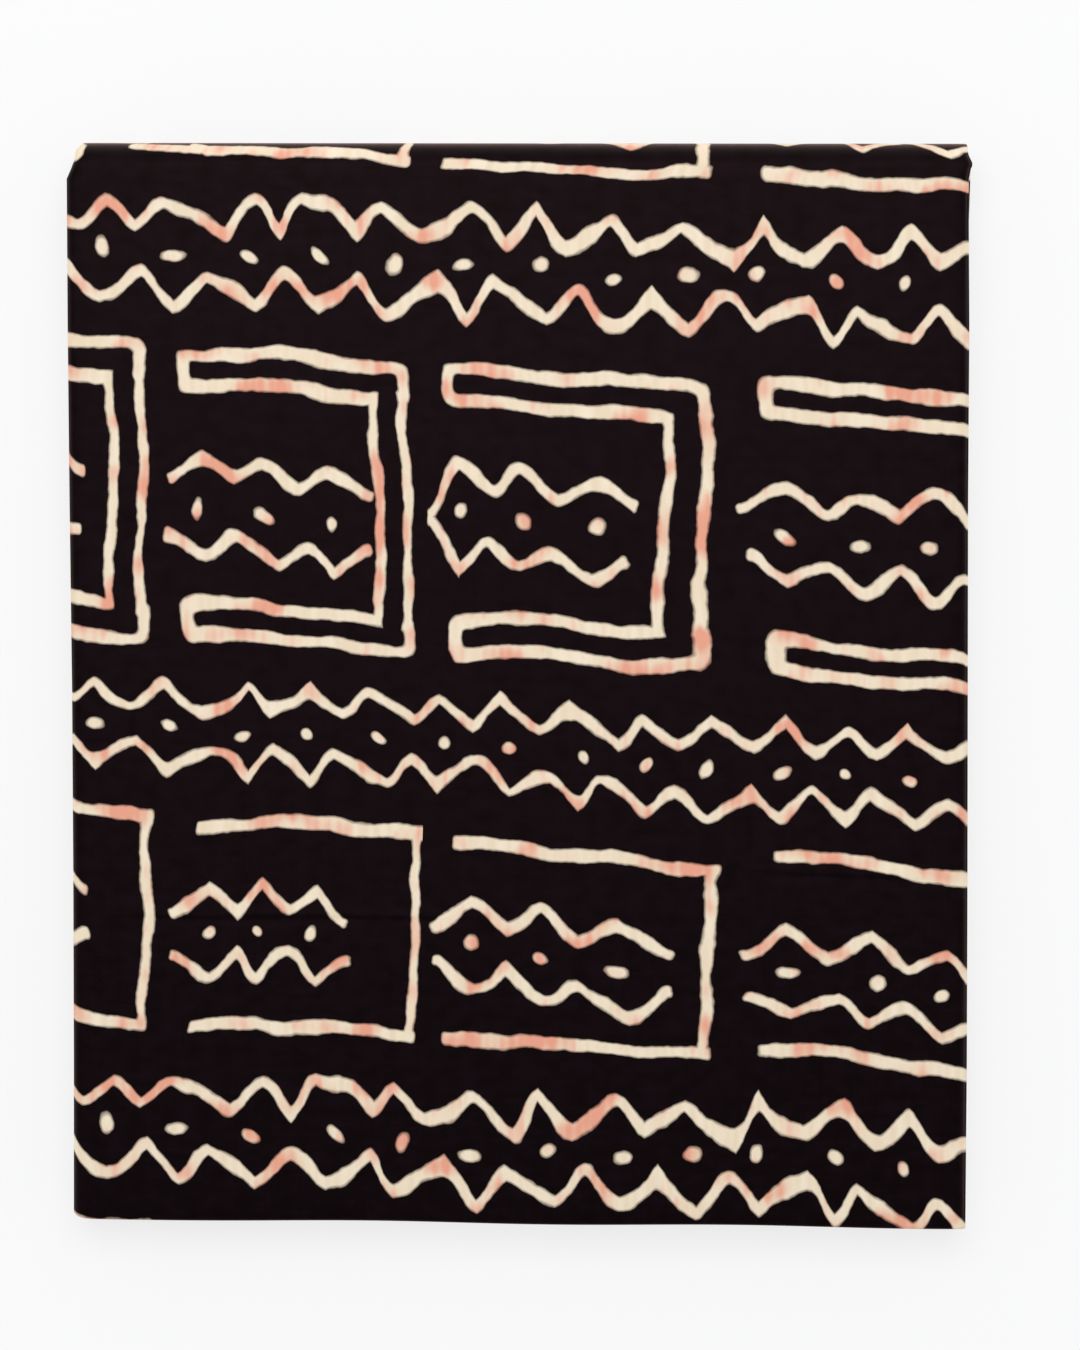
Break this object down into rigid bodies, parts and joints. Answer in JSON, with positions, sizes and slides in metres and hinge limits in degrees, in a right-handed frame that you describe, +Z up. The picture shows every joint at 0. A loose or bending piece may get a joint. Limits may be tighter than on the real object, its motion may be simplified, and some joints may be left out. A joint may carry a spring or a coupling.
{
  "type": "folded ankara fabric",
  "caption": "Length of printed cotton folded in quarters across its width and back and forth along its length into a flat packet with one thick rounded edge.",
  "frame": {"origin": "under the middle of the packet's bounding box, on the surface that it lies on", "axes": "+Z up, +Y towards the thick rounded edge, +X across the packet, to the right as the picture shows it"},
  "size_m": [0.2916, 0.3502, 0.0185],
  "materials": {
    "printed_cotton": "plain woven cotton, brown-black ground printed with cream and salmon pink hand-drawn zigzags, dots and open brackets, matte with a slight sheen"
  },
  "bodies": {
    "root": {"cloth": "printed_cotton"}
  },
  "joints": []
}
